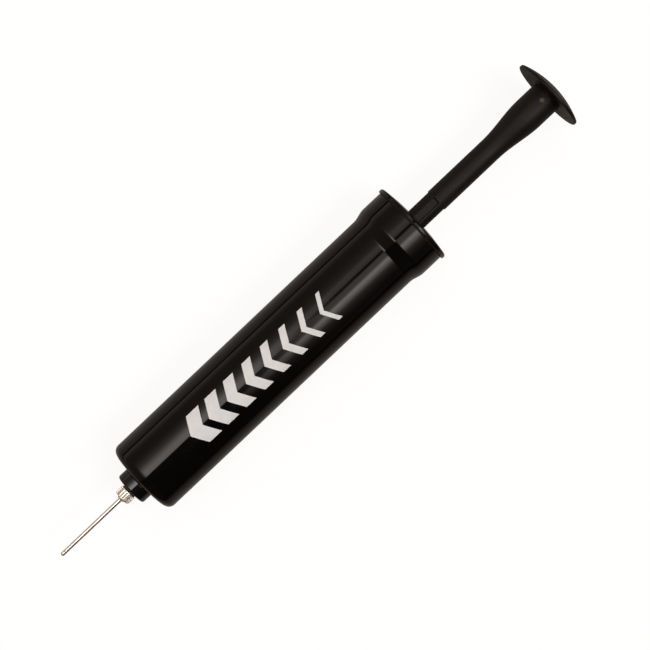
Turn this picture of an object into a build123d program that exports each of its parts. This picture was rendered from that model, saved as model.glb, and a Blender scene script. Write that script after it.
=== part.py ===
from build123d import *
from math import asin, cos, sin
import os

# Hand pump for inflating balls: a single-acting plunger pump with a screw-in needle.
# The pump lies along X with the needle towards -X, the handle towards +X and the plunger partly drawn.
# Each part is made about the X axis, with x = 0 at the needle end of the barrel. placed() then moves it
# into the row frame, whose origin is on the table under the middle of the bounding box.
# Lengths are in millimetres, and names ending in _R are radii.

# Driving dimensions: barrel and top cap
BARREL_R = 18.0
BARREL_WALL = 1.8
BARREL_LENGTH = 162.4
BARREL_FLOOR = 3.0
END_ROUND = 3.2
BELL_START = 145.5
BELL_END = 152.5
COLLAR_R = 19.3
SOCKET_R = 17.5
SOCKET_X = 153.0
SNAP_X = 157.5
GASKET_THICK = 0.4
RIM_R = 20.3
RIM_THICK = 1.8
RIM_DOME = 1.3
SLEEVE_END_X = 148.5
BUSH_R = 7.0
BUSH_STOP_X = 161.8

# Driving dimensions: plunger and handle
ROD_R = 5.4
FLUTES = 4
FLUTE_WIDTH = 3.5
FLUTE_DEPTH = 1.5
FLUTE_START = 74.0
FLUTE_END = 178.4
FLARE_START = 214.9
FLARE_END = 230.7
NECK_R = 7.5
NECK_END = 244.4
STEM_R = 4.2
STEM_LENGTH = 15.0
PIN_X = 241.4
PIN_R = 1.25
DISC_R = 17.5
DISC_UNDERSIDE = 245.2
DISC_EDGE = 1.3
DISC_DOME = 3.6

# Driving dimensions: piston
PISTON_X = 52.0
PISTON_R = 16.0
GROOVE_X = 55.4
GROOVE_WIDTH = 3.4
GROOVE_R = 13.2
FLANGE_TOP_X = 61.8
HUB_R = 6.0
HUB_TOP_X = 66.0
RING_R = 16.15
RING_THICK = 2.6
SPIGOT_R = 3.5
SPIGOT_END_X = 55.0
BUMPER_TOP_X = 66.5
SCREW_R = 1.75

# Driving dimensions: nozzle and needle
NECK_SHOULDER_R = 7.0
NECK_SHOULDER = 0.9
NECK_THREAD_R = 6.0
NECK_BOTTOM_X = -4.2
CHAMBER_R = 4.0
CHAMBER_TOP_X = 1.6
PORT_R = 1.5
SEAT_LIP = 0.3
VALVE_R = 3.25
VALVE_THICK = 1.2
INSERT_TOP_X = -1.7
INSERT_FLANGE_R = 5.6
SEAL_WASHER = 0.5
NUT_R = 7.8
NUT_BOTTOM_X = -6.3
NUT_FLOOR = 0.8
NEEDLE_THREAD_R = 2.5
HUB_COLLAR_R = 3.8
HUB_COLLAR_TOP_X = -7.3
HUB_COLLAR_BOTTOM_X = -11.7
HUB_TIP_X = -12.6
SHANK_TOP_X = -2.5
NEEDLE_R = 0.95
NEEDLE_BORE_R = 0.5
NEEDLE_TIP_X = -48.1
TUBE_TOP_X = -7.0
TUBE_SPIGOT_R = 0.78
OUTLET_X = -45.6

# Radial clearances: a running fit slides or turns, a loose fit only has to go together
RUNNING = 0.05
LOOSE = 0.1

BORE_R = BARREL_R - BARREL_WALL
RIM_X = BARREL_LENGTH + GASKET_THICK
RIM_TOP_X = RIM_X + RIM_THICK
DOME_TOP_X = DISC_UNDERSIDE + DISC_EDGE + DISC_DOME
MIDDLE_X = (NEEDLE_TIP_X + DOME_TOP_X) / 2


def turned(*corners):
    # A body of revolution about X; a corner is (x, radius) or (x, radius, fillet)
    points = [corner[:2] for corner in corners]
    fillets = [corner[2] if len(corner) == 3 else 0 for corner in corners]
    outline = FilletPolyline(*points, radius=fillets, close=True)
    return revolve(make_face(outline.edges()), Axis.X)


def solid_rod(x_low, x_high, radius):
    return turned((x_low, 0), (x_high, 0), (x_high, radius), (x_low, radius))


def tube(x_low, x_high, inner_r, outer_r, round_over=0):
    return turned(
        (x_low, inner_r),
        (x_high, inner_r),
        (x_high, outer_r, round_over),
        (x_low, outer_r, round_over),
    )


def bead(x, centre_r, bead_r):
    return revolve(Pos(x, centre_r) * Circle(bead_r), Axis.X)


def around(shape, count, first=0):
    # Equally spaced copies of a shape round the X axis
    return [Rot(X=first + 360 * i / count) * shape for i in range(count)]


def block(x_low, x_high, width, z_low, z_high):
    # A box that is centred on Y and given by its ends in X and Z
    size = (x_high - x_low, width, z_high - z_low)
    return Pos((x_low + x_high) / 2, 0, (z_low + z_high) / 2) * Box(*size)


def placed(shape):
    return Pos(-MIDDLE_X, 0, RIM_R) * shape


# Barrel: moulded tube with a floor, a threaded neck at the needle end and a belled collar for the cap
def make_barrel():
    bell_mid = ((BELL_START + BELL_END) / 2, (BARREL_R + COLLAR_R) / 2)
    outline = [
        *Polyline((0, 0), (0, BARREL_R), (BELL_START, BARREL_R)).edges(),
        TangentArc((BELL_START, BARREL_R), bell_mid, tangent=(1, 0)),
        TangentArc((BELL_END, COLLAR_R), bell_mid, tangent=(-1, 0)),
        *Polyline(
            (BELL_END, COLLAR_R),
            (BARREL_LENGTH, COLLAR_R),
            (BARREL_LENGTH, 0),
            (0, 0),
        ).edges(),
    ]
    body = revolve(make_face(outline), Axis.X)
    body = fillet(body.edges().filter_by(GeomType.CIRCLE).sort_by(Axis.X)[0], END_ROUND)
    body -= turned(
        (BARREL_FLOOR, 0),
        (SOCKET_X - 1.3, 0),
        (SOCKET_X - 1.3, BORE_R),
        (BARREL_FLOOR, BORE_R, 0.8),
    )
    body -= turned(
        (SOCKET_X - 1.4, 0),
        (BARREL_LENGTH + 1, 0),
        (BARREL_LENGTH + 1, SOCKET_R),
        (SOCKET_X, SOCKET_R),
        (SOCKET_X - 1.4, BORE_R),
    )
    body -= bead(SNAP_X, SOCKET_R, 0.5)
    body += solid_rod(-NECK_SHOULDER, 0.5, NECK_SHOULDER_R)
    body += turned(
        (NECK_BOTTOM_X, 0),
        (0.5, 0),
        (0.5, NECK_THREAD_R),
        (NECK_BOTTOM_X, NECK_THREAD_R, 0.4),
    )
    body -= solid_rod(NECK_BOTTOM_X - 1, CHAMBER_TOP_X, CHAMBER_R)
    body += solid_rod(CHAMBER_TOP_X - SEAT_LIP, CHAMBER_TOP_X + 0.5, PORT_R + 0.7)
    return body - solid_rod(CHAMBER_TOP_X - 1, BARREL_FLOOR + 1, PORT_R)


# Top cap: domed rim flange, snap-in skirt, and the guide sleeve with the webs that brace it
def make_top_cap():
    sleeve_r = 8.8
    skirt_r = SOCKET_R - LOOSE
    skirt_wall = 1.8
    flange = turned(
        (RIM_X, 0),
        (RIM_X, RIM_R, 0.3),
        (RIM_TOP_X, RIM_R, 0.9),
        (RIM_TOP_X + 0.85 * RIM_DOME, RIM_R * 0.6, 30.0),
        (RIM_TOP_X + RIM_DOME, ROD_R + 0.8, 0.4),
        (RIM_TOP_X + RIM_DOME, 0),
    )
    cap = flange + tube(SOCKET_X + 0.1, RIM_X + 0.5, skirt_r - skirt_wall, skirt_r)
    cap += bead(SNAP_X, skirt_r, 0.4)
    cap += solid_rod(SLEEVE_END_X, RIM_X + 0.5, sleeve_r)
    web = block(SOCKET_X + 1.5, RIM_X + 0.3, 1.6, sleeve_r - 0.5, skirt_r - skirt_wall + 0.5)
    for one_web in around(web, 6):
        cap += one_web
    cap -= solid_rod(SLEEVE_END_X - 1, BUSH_STOP_X, BUSH_R)
    return cap - solid_rod(BUSH_STOP_X - 1, RIM_TOP_X + RIM_DOME + 1, ROD_R + 0.2)


def make_cap_gasket():
    return tube(BARREL_LENGTH, RIM_X, SOCKET_R + LOOSE, COLLAR_R - 0.1)


def make_rod_guide_bush():
    bush_end_x = SLEEVE_END_X + 1
    bush = tube(bush_end_x, BUSH_STOP_X, ROD_R + RUNNING, BUSH_R)
    entry = turned(
        (bush_end_x - 0.1, 0),
        (bush_end_x - 0.1, ROD_R + 0.6),
        (bush_end_x + 0.8, ROD_R),
        (bush_end_x + 0.8, 0),
    )
    return bush - entry


# Plunger: fluted rod that flares into the neck, with a spigot for the piston at its foot
def make_plunger_rod():
    rod = turned(
        (HUB_TOP_X + RUNNING, 0),
        (NECK_END, 0),
        (NECK_END, NECK_R),
        (FLARE_END, NECK_R, 14.0),
        (FLARE_START, ROD_R, 14.0),
        (HUB_TOP_X + RUNNING, ROD_R, 0.5),
    )
    flute = block(FLUTE_START, FLUTE_END, FLUTE_WIDTH, ROD_R - FLUTE_DEPTH, ROD_R + 1)
    for one_flute in around(flute, FLUTES):
        rod -= one_flute
    rod += solid_rod(SPIGOT_END_X, HUB_TOP_X + 1, SPIGOT_R - RUNNING)
    rod -= solid_rod(SPIGOT_END_X - 1, HUB_TOP_X + 2.5, SCREW_R)
    rod -= solid_rod(NECK_END - STEM_LENGTH - 1, NECK_END + 1, STEM_R)
    return rod - handle_pin_hole()


def handle_pin_hole():
    return Pos(PIN_X, 0, 0) * Cylinder(PIN_R, 2 * NECK_R + 2)


def make_handle_disc():
    dome_r = (DISC_R**2 + DISC_DOME**2) / (2 * DISC_DOME)
    half_turn = asin(DISC_R / dome_r) / 2
    edge_x = DISC_UNDERSIDE + DISC_EDGE
    dome_middle = (DOME_TOP_X - dome_r + dome_r * cos(half_turn), dome_r * sin(half_turn))
    underside = Polyline(
        (edge_x, DISC_R),
        (DISC_UNDERSIDE, DISC_R),
        (DISC_UNDERSIDE, NECK_R),
        (NECK_END, NECK_R),
        (NECK_END, 0),
        (DOME_TOP_X, 0),
    )
    outline = [ThreePointArc((DOME_TOP_X, 0), dome_middle, (edge_x, DISC_R)), *underside.edges()]
    disc = revolve(make_face(outline), Axis.X)
    rim = [edge for edge in disc.edges().filter_by(GeomType.CIRCLE) if edge.radius > DISC_R - 0.01]
    disc = fillet(rim, 0.45)
    disc += turned(
        (NECK_END - STEM_LENGTH, 0),
        (NECK_END + 0.2, 0),
        (NECK_END + 0.2, STEM_R),
        (NECK_END - STEM_LENGTH, STEM_R, 0.6),
    )
    return disc - handle_pin_hole()


def make_handle_pin():
    pin = Pos(PIN_X, 0, 0) * Cylinder(PIN_R, 2 * NECK_R + 0.1)
    return chamfer(pin.edges().filter_by(GeomType.CIRCLE), 0.2)


# Piston: two flanges that hold the floating ring; the notches let air past it on the draw stroke
def make_piston_head():
    recess_r = 6.6
    groove_top_x = GROOVE_X + GROOVE_WIDTH
    head = turned(
        (PISTON_X, 0),
        (HUB_TOP_X, 0),
        (HUB_TOP_X, HUB_R, 0.3),
        (FLANGE_TOP_X, HUB_R),
        (FLANGE_TOP_X, PISTON_R, 0.4),
        (groove_top_x, PISTON_R),
        (groove_top_x, GROOVE_R),
        (GROOVE_X, GROOVE_R),
        (GROOVE_X, PISTON_R),
        (PISTON_X, PISTON_R, 0.6),
    )
    notch = block(PISTON_X - 1, GROOVE_X, 5.0, GROOVE_R, PISTON_R + 1)
    for one_notch in around(notch, 6, 30):
        head -= one_notch
    head -= solid_rod(PISTON_X - 1, SPIGOT_END_X + RUNNING, recess_r)
    return head - solid_rod(PISTON_X, HUB_TOP_X + 1, SPIGOT_R)


def make_piston_ring():
    low_x = GROOVE_X + 0.025
    return tube(low_x, low_x + RING_THICK, GROOVE_R + 0.5, RING_R, 0.25)


def make_piston_bumper():
    return tube(FLANGE_TOP_X, BUMPER_TOP_X, HUB_R, 9.0, 0.6)


def make_piston_washer():
    return tube(SPIGOT_END_X - 1.2, SPIGOT_END_X, SCREW_R + 0.15, 6.0)


def make_piston_screw():
    head_x = SPIGOT_END_X - 1.2
    screw = turned(
        (head_x - 1.6, 0),
        (HUB_TOP_X + 1.5, 0),
        (HUB_TOP_X - 0.5, SCREW_R),
        (head_x, SCREW_R),
        (head_x, 3.6),
        (head_x - 1.6, 3.6, 0.9),
    )
    for slot in around(block(head_x - 2, head_x - 0.7, 0.7, -1.6, 1.6), 2, 0):
        screw -= slot
    return screw - Pos(head_x - 1.35, 0, 0) * Box(1.3, 3.2, 0.7)


# Outlet valve: a rubber disc that a light spring holds against the lip round the port
def make_check_valve_disc():
    top_x = CHAMBER_TOP_X - SEAT_LIP
    return tube(top_x - VALVE_THICK, top_x - 0.01, 0, VALVE_R, 0.2)


def make_check_valve_spring():
    wire_r = 0.15
    coil_r = 2.95
    low_x = INSERT_TOP_X + wire_r + 0.01
    high_x = CHAMBER_TOP_X - SEAT_LIP - VALVE_THICK - wire_r - 0.01
    length = high_x - low_x
    path = Helix(pitch=length / 2, height=length, radius=coil_r)
    section = Plane(origin=path @ 0, z_dir=path % 0) * Circle(wire_r)
    return Pos(low_x, 0, 0) * Rot(Y=90) * sweep(section, path=path, is_frenet=True)


def make_needle_socket():
    flange_top_x = NECK_BOTTOM_X - SEAL_WASHER
    socket = turned(
        (NUT_BOTTOM_X + NUT_FLOOR, 0),
        (INSERT_TOP_X, 0),
        (INSERT_TOP_X, CHAMBER_R - RUNNING),
        (flange_top_x, CHAMBER_R - RUNNING),
        (flange_top_x, INSERT_FLANGE_R),
        (NUT_BOTTOM_X + NUT_FLOOR, INSERT_FLANGE_R),
    )
    return socket - solid_rod(NUT_BOTTOM_X, INSERT_TOP_X + 1, NEEDLE_THREAD_R + RUNNING)


def make_socket_seal():
    return tube(NECK_BOTTOM_X - SEAL_WASHER, NECK_BOTTOM_X, CHAMBER_R, INSERT_FLANGE_R)


def make_nozzle_nut():
    nut = turned(
        (NUT_BOTTOM_X, 0),
        (-NECK_SHOULDER, 0),
        (-NECK_SHOULDER, NUT_R, 0.4),
        (NUT_BOTTOM_X, NUT_R, 0.9),
    )
    nut -= solid_rod(NUT_BOTTOM_X + NUT_FLOOR, 0, NECK_THREAD_R)
    return nut - solid_rod(NUT_BOTTOM_X - 1, 0, NEEDLE_THREAD_R + 0.2)


# Needle: knurled hub with a threaded shank, and the drawn tube that goes into the ball
def make_needle_seal():
    return tube(HUB_COLLAR_TOP_X, NUT_BOTTOM_X, NEEDLE_THREAD_R + RUNNING, 3.3, 0.3)


def make_needle_hub():
    hub = turned(
        (HUB_TIP_X, 0),
        (SHANK_TOP_X, 0),
        (SHANK_TOP_X, NEEDLE_THREAD_R - 0.3),
        (SHANK_TOP_X - 0.3, NEEDLE_THREAD_R),
        (HUB_COLLAR_TOP_X, NEEDLE_THREAD_R),
        (HUB_COLLAR_TOP_X, HUB_COLLAR_R, 0.3),
        (HUB_COLLAR_BOTTOM_X, HUB_COLLAR_R, 0.5),
        (HUB_COLLAR_BOTTOM_X, 2.3),
        (HUB_TIP_X, 1.5),
    )
    groove = Pos(0, 0, HUB_COLLAR_R) * Rot(X=45) * block(
        HUB_COLLAR_BOTTOM_X + 0.5, HUB_COLLAR_TOP_X - 0.4, 0.4, -0.2, 0.2
    )
    for one_groove in around(groove, 20):
        hub -= one_groove
    hub -= solid_rod(HUB_TIP_X - 1, TUBE_TOP_X, TUBE_SPIGOT_R)
    return hub - solid_rod(TUBE_TOP_X - 1, SHANK_TOP_X + 1, NEEDLE_BORE_R)


def make_needle_tube():
    needle = turned(
        (NEEDLE_TIP_X, 0),
        (TUBE_TOP_X, 0),
        (TUBE_TOP_X, TUBE_SPIGOT_R),
        (HUB_TIP_X, TUBE_SPIGOT_R),
        (HUB_TIP_X, NEEDLE_R),
        (NEEDLE_TIP_X, NEEDLE_R, 0.85),
    )
    needle -= solid_rod(NEEDLE_TIP_X + 1.0, TUBE_TOP_X + 1, NEEDLE_BORE_R)
    return needle - Pos(OUTLET_X, 0, NEEDLE_R) * Cylinder(0.5, 2 * NEEDLE_R)


MAKERS = [
    make_barrel,
    make_top_cap,
    make_cap_gasket,
    make_rod_guide_bush,
    make_plunger_rod,
    make_handle_disc,
    make_handle_pin,
    make_piston_head,
    make_piston_ring,
    make_piston_bumper,
    make_piston_washer,
    make_piston_screw,
    make_check_valve_disc,
    make_check_valve_spring,
    make_needle_socket,
    make_socket_seal,
    make_nozzle_nut,
    make_needle_seal,
    make_needle_hub,
    make_needle_tube,
]

os.makedirs("parts", exist_ok=True)
for make in MAKERS:
    node = make.__name__.removeprefix("make_")
    shape = placed(make())
    box = shape.bounding_box()
    print(f"{node:20s} {shape.volume:9.1f} mm3  x {box.min.X:7.2f} to {box.max.X:7.2f}")
    export_step(shape, f"parts/{node}.step")
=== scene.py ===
# %% [markdown]
# # A hand pump for sports balls, dressed for its picture
# The pump's exact parts come from a CAD model: a barrel, a top cap, a plunger with a palm disc, a
# screw-in needle, and the piston and valve inside. This lesson loads them as a fixed frame,
# rebuilds the parts that show as finer meshes, and gives every part a finish made of nodes.
# The frame is loaded first, and the box of any of its parts can be read from its points.

# %% Load the frame and read its parts' boxes
import bmesh
import bpy
from math import atan2, cos, hypot, pi, radians, sin, sqrt, tan
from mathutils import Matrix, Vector


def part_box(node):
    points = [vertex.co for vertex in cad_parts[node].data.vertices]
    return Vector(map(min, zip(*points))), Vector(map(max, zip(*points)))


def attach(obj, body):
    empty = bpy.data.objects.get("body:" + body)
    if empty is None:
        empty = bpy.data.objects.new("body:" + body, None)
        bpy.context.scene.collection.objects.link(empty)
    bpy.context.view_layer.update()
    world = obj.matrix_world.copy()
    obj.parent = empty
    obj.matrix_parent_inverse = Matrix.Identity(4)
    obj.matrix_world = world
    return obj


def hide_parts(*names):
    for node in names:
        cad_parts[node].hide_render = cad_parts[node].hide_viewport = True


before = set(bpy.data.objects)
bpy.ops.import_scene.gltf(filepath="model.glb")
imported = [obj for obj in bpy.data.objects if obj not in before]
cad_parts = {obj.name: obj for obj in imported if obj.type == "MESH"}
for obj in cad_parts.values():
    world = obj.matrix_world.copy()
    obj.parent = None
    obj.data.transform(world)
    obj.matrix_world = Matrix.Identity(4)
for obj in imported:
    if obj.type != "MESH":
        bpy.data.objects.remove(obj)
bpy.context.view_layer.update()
print("CAD parts:", ", ".join(sorted(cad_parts)))

# %% [markdown]
# The pump lies along X, with its needle towards -X. Outlines are easiest to write in millimetres
# from the barrel's shoulder, as on a workshop drawing. The barrel's box says where the neck in
# front of that shoulder ends, and the cap's box says how high the pump's axis lies above the
# table, so no position has to be guessed.

# %% Where the pump's axis and its zero plane are
MM = 0.001
NECK_LENGTH = 4.2
barrel_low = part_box("barrel")[0]
ZERO_X = barrel_low.x + NECK_LENGTH * MM
cap_low, cap_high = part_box("top_cap")
AXIS_Z = (cap_low.z + cap_high.z) / 2
print(f"zero plane at x = {ZERO_X:.4f} m, axis {AXIS_Z:.4f} m above the table")

# %% [markdown]
# ## Finishes
# A finish is a colour that is never quite even, a gloss that changes with fingerprints and fine
# scratches, and a relief too small to model, such as moulding grain. Two noise textures, a broad
# one and a fine one, drive all three. An image would show seams and would blur up close, so the
# patterns are computed from Object coordinates, which stay with the part however it moves.
# stretch makes a pattern longer along X, which turns specks into drawn lines.

# %% A helper that makes one finish
def add_node(tree, kind, **settings):
    node = tree.nodes.new(kind)
    for name, value in settings.items():
        setattr(node, name, value)
    return node


def noise_pattern(tree, size_mm, stretch=(1, 1, 1), detail=3.0):
    """A noise whose specks are about size_mm across, on Object coordinates."""
    place = add_node(tree, "ShaderNodeTexCoord")
    mapping = add_node(tree, "ShaderNodeMapping")
    mapping.inputs["Scale"].default_value = [1 / (s * size_mm * MM) for s in stretch]
    noise = add_node(tree, "ShaderNodeTexNoise", noise_dimensions="3D")
    noise.inputs["Scale"].default_value = 1.0
    noise.inputs["Detail"].default_value = detail
    tree.links.new(place.outputs["Object"], mapping.inputs["Vector"])
    tree.links.new(mapping.outputs["Vector"], noise.inputs["Vector"])
    return noise.outputs["Fac"]


NOISE_LOW = 0.3
NOISE_HIGH = 0.7


def spread(tree, pattern, low, high):
    """The pattern as a number that runs from low to high."""
    ranged = add_node(tree, "ShaderNodeMapRange", interpolation_type="SMOOTHSTEP")
    ranged.inputs["From Min"].default_value = NOISE_LOW
    ranged.inputs["From Max"].default_value = NOISE_HIGH
    ranged.inputs["To Min"].default_value = low
    ranged.inputs["To Max"].default_value = high
    tree.links.new(pattern, ranged.inputs["Value"])
    return ranged.outputs["Result"]


def finish(name, colours, gloss, cloud_mm, grain_mm, grain_depth, stretch=(1, 1, 1), **fixed):
    """A material of two colours that drift together, a range of roughness and a fine relief."""
    material = bpy.data.materials.new(name)
    material.use_nodes = True
    tree = material.node_tree
    shader = tree.nodes["Principled BSDF"]
    for label, value in fixed.items():
        shader.inputs[label.replace("_", " ")].default_value = value
    clouds = noise_pattern(tree, cloud_mm, stretch)
    grain = noise_pattern(tree, grain_mm, stretch, detail=2.0)
    blend = add_node(tree, "ShaderNodeMix", data_type="RGBA")
    blend.inputs["A"].default_value = (*colours[0], 1)
    blend.inputs["B"].default_value = (*colours[1], 1)
    tree.links.new(spread(tree, clouds, 0, 1), blend.inputs["Factor"])
    tree.links.new(blend.outputs["Result"], shader.inputs["Base Color"])
    smudges = add_node(tree, "ShaderNodeMath", operation="ADD")
    tree.links.new(spread(tree, clouds, gloss[0], gloss[1]), smudges.inputs[0])
    tree.links.new(spread(tree, grain, 0, (gloss[1] - gloss[0]) / 2), smudges.inputs[1])
    tree.links.new(smudges.outputs["Value"], shader.inputs["Roughness"])
    bump = add_node(tree, "ShaderNodeBump")
    bump.inputs["Strength"].default_value = 1.0
    bump.inputs["Distance"].default_value = grain_depth * MM
    tree.links.new(grain, bump.inputs["Height"])
    tree.links.new(bump.outputs["Normal"], shader.inputs["Normal"])
    return material


# %% [markdown]
# The barrel, cap and nozzle nut are moulded in black plastic and polished, so their own colour is
# almost nothing, and what shows is what they mirror: soft highlights, a little warped by the
# flow of the plastic. The rod and the palm disc come from a fine-textured mould and are satin.

# %% The black plastics
gloss_black = finish(
    "gloss_black_plastic",
    colours=[(0.0007, 0.0006, 0.0005), (0.0012, 0.0010, 0.0009)],
    gloss=(0.03, 0.07),
    cloud_mm=9.0,
    grain_mm=1.6,
    grain_depth=0.0006,
    Specular_IOR_Level=0.25,
)
nut_black = finish(
    "polished_nut_plastic",
    colours=[(0.0008, 0.0007, 0.0006), (0.0014, 0.0012, 0.0011)],
    gloss=(0.06, 0.11),
    cloud_mm=4.0,
    grain_mm=0.8,
    grain_depth=0.0006,
    Specular_IOR_Level=0.5,
)
satin_black = finish(
    "satin_black_plastic",
    colours=[(0.0036, 0.0029, 0.0024), (0.0060, 0.0048, 0.0040)],
    gloss=(0.40, 0.48),
    cloud_mm=7.0,
    grain_mm=0.22,
    grain_depth=0.004,
    Specular_IOR_Level=0.22,
)
print("black plastics:", gloss_black.name, nut_black.name, satin_black.name)

# %% [markdown]
# The needle is a drawn tube with a bright nickel plating, so its fine lines run along X. The hub is
# turned brass under the same plating, a little duller. The cross-pin is steel that oil has
# blackened. Inside there are brass, zinc-plated steel, spring wire, rubber and two kinds of
# engineering plastic.

# %% The metals, rubbers and inner plastics
LENGTHWISE = (40, 1, 1)
bright_nickel = finish(
    "bright_nickel",
    colours=[(0.92, 0.87, 0.80), (0.98, 0.95, 0.90)],
    gloss=(0.10, 0.17),
    cloud_mm=0.5,
    grain_mm=0.12,
    grain_depth=0.0008,
    stretch=LENGTHWISE,
    Metallic=1.0,
)
hub_nickel = finish(
    "knurled_nickel",
    colours=[(0.88, 0.83, 0.76), (0.97, 0.94, 0.89)],
    gloss=(0.16, 0.27),
    cloud_mm=1.2,
    grain_mm=0.15,
    grain_depth=0.003,
    Metallic=1.0,
)
brass = finish(
    "turned_brass",
    colours=[(0.72, 0.50, 0.20), (0.86, 0.64, 0.30)],
    gloss=(0.18, 0.30),
    cloud_mm=1.5,
    grain_mm=0.2,
    grain_depth=0.002,
    Metallic=1.0,
)
zinc_steel = finish(
    "zinc_plated_steel",
    colours=[(0.58, 0.59, 0.62), (0.68, 0.68, 0.66)],
    gloss=(0.25, 0.42),
    cloud_mm=1.0,
    grain_mm=0.15,
    grain_depth=0.002,
    Metallic=1.0,
)
spring_wire = finish(
    "drawn_spring_wire",
    colours=[(0.50, 0.49, 0.47), (0.62, 0.61, 0.60)],
    gloss=(0.20, 0.35),
    cloud_mm=0.4,
    grain_mm=0.08,
    grain_depth=0.001,
    Metallic=1.0,
)
oiled_steel = finish(
    "oil_blackened_pin",
    colours=[(0.045, 0.036, 0.022), (0.11, 0.092, 0.066)],
    gloss=(0.34, 0.48),
    cloud_mm=0.7,
    grain_mm=0.08,
    grain_depth=0.002,
    Metallic=1.0,
)
black_rubber = finish(
    "black_rubber",
    colours=[(0.012, 0.012, 0.012), (0.022, 0.021, 0.020)],
    gloss=(0.55, 0.72),
    cloud_mm=2.0,
    grain_mm=0.2,
    grain_depth=0.006,
    Specular_IOR_Level=0.4,
)
natural_acetal = finish(
    "natural_acetal",
    colours=[(0.70, 0.69, 0.65), (0.78, 0.77, 0.73)],
    gloss=(0.32, 0.45),
    cloud_mm=4.0,
    grain_mm=0.3,
    grain_depth=0.002,
)
grey_nylon = finish(
    "grey_glass_filled_nylon",
    colours=[(0.12, 0.12, 0.13), (0.19, 0.19, 0.20)],
    gloss=(0.40, 0.55),
    cloud_mm=1.0,
    grain_mm=0.18,
    grain_depth=0.005,
)
print(len(bpy.data.materials), "materials so far")

# %% [markdown]
# ## Outlines
# Nearly every part of a pump is round, so a lathe is the tool to copy. The first thing it needs is
# half of the part's section: a line of corners, each given as a distance along the axis and a
# radius. Real corners are never sharp, so a third number rounds one off with a short arc. A point
# just past each end of the arc holds the straight part straight, because smooth shading would
# otherwise bend the light along its whole length.

# %% Round off an outline
HOLD = 0.02
ARC_STEPS = 7


def arc_at(before, corner, after, radius, steps):
    """The short arc that rounds a corner off, as points."""
    a = Vector(before) - Vector(corner)
    b = Vector(after) - Vector(corner)
    a.normalize()
    b.normalize()
    half = a.angle(b) / 2
    start = Vector(corner) + a * (radius / tan(half))
    centre = Vector(corner) + (a + b).normalized() * (radius / sin(half))
    first = start - centre
    last = Vector(corner) + b * (radius / tan(half)) - centre
    turn = atan2(first.x * last.y - first.y * last.x, first.dot(last))
    angles = [turn * i / steps for i in range(steps + 1)]
    return [
        centre + Vector((first.x * cos(t) - first.y * sin(t), first.x * sin(t) + first.y * cos(t)))
        for t in angles
    ]


def rounded(corners, closed=False):
    """The outline through (x, radius) or (x, radius, rounding) corners, in millimetres."""
    points = []
    count = len(corners)
    for i, corner in enumerate(corners):
        before = Vector(corners[i - 1][:2])
        after = Vector(corners[(i + 1) % count][:2])
        if len(corner) == 3:
            arc = arc_at(before, corner[:2], after, corner[2], ARC_STEPS)
            points += [arc[0].lerp(before, HOLD), *arc, arc[-1].lerp(after, HOLD)]
        else:
            points.append(Vector(corner))
    return points + points[:1] if closed else points


# %% [markdown]
# ## The lathe
# Blender has a Spin tool and a Screw modifier, but a small node tree does the same and says what
# each step means. It takes the outline's points in order, lays a grid with one row for each point
# and one column for each step round the axis, and turns every column a little further about X.
# Merging closes the seam and the poles. The steps are functions, because the trees of the cap and
# of the needle's hub start with the same ones.

# %% Build the lathe as a node tree
def new_tree(name, inputs):
    """An empty geometry tree with named inputs, and its two ends."""
    tree = bpy.data.node_groups.new(name, "GeometryNodeTree")
    tree.interface.new_socket("Geometry", in_out="INPUT", socket_type="NodeSocketGeometry")
    for label, kind in inputs:
        tree.interface.new_socket(label, in_out="INPUT", socket_type=kind)
    tree.interface.new_socket("Geometry", in_out="OUTPUT", socket_type="NodeSocketGeometry")
    return tree, add_node(tree, "NodeGroupInput"), add_node(tree, "NodeGroupOutput")


def wire(tree, node, **sources):
    """Links outputs to a node's inputs or sets plain values, by position: i0, i1 and so on."""
    for key, source in sources.items():
        socket = node.inputs[int(key[1:])]
        if isinstance(source, bpy.types.NodeSocket):
            tree.links.new(source, socket)
        else:
            socket.default_value = source
    return node.outputs[0]


def maths(tree, operation, first, second=0.0):
    return wire(tree, add_node(tree, "ShaderNodeMath", operation=operation), i0=first, i1=second)


def finish_tree(tree, geometry, material, end):
    """Every tree ends in real geometry that carries its material."""
    real = wire(tree, add_node(tree, "GeometryNodeRealizeInstances"), i0=geometry)
    painted = add_node(tree, "GeometryNodeSetMaterial")
    tree.links.new(real, painted.inputs["Geometry"])
    tree.links.new(material, painted.inputs["Material"])
    tree.links.new(painted.outputs["Geometry"], end.inputs["Geometry"])


SEAM = 1e-6


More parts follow.
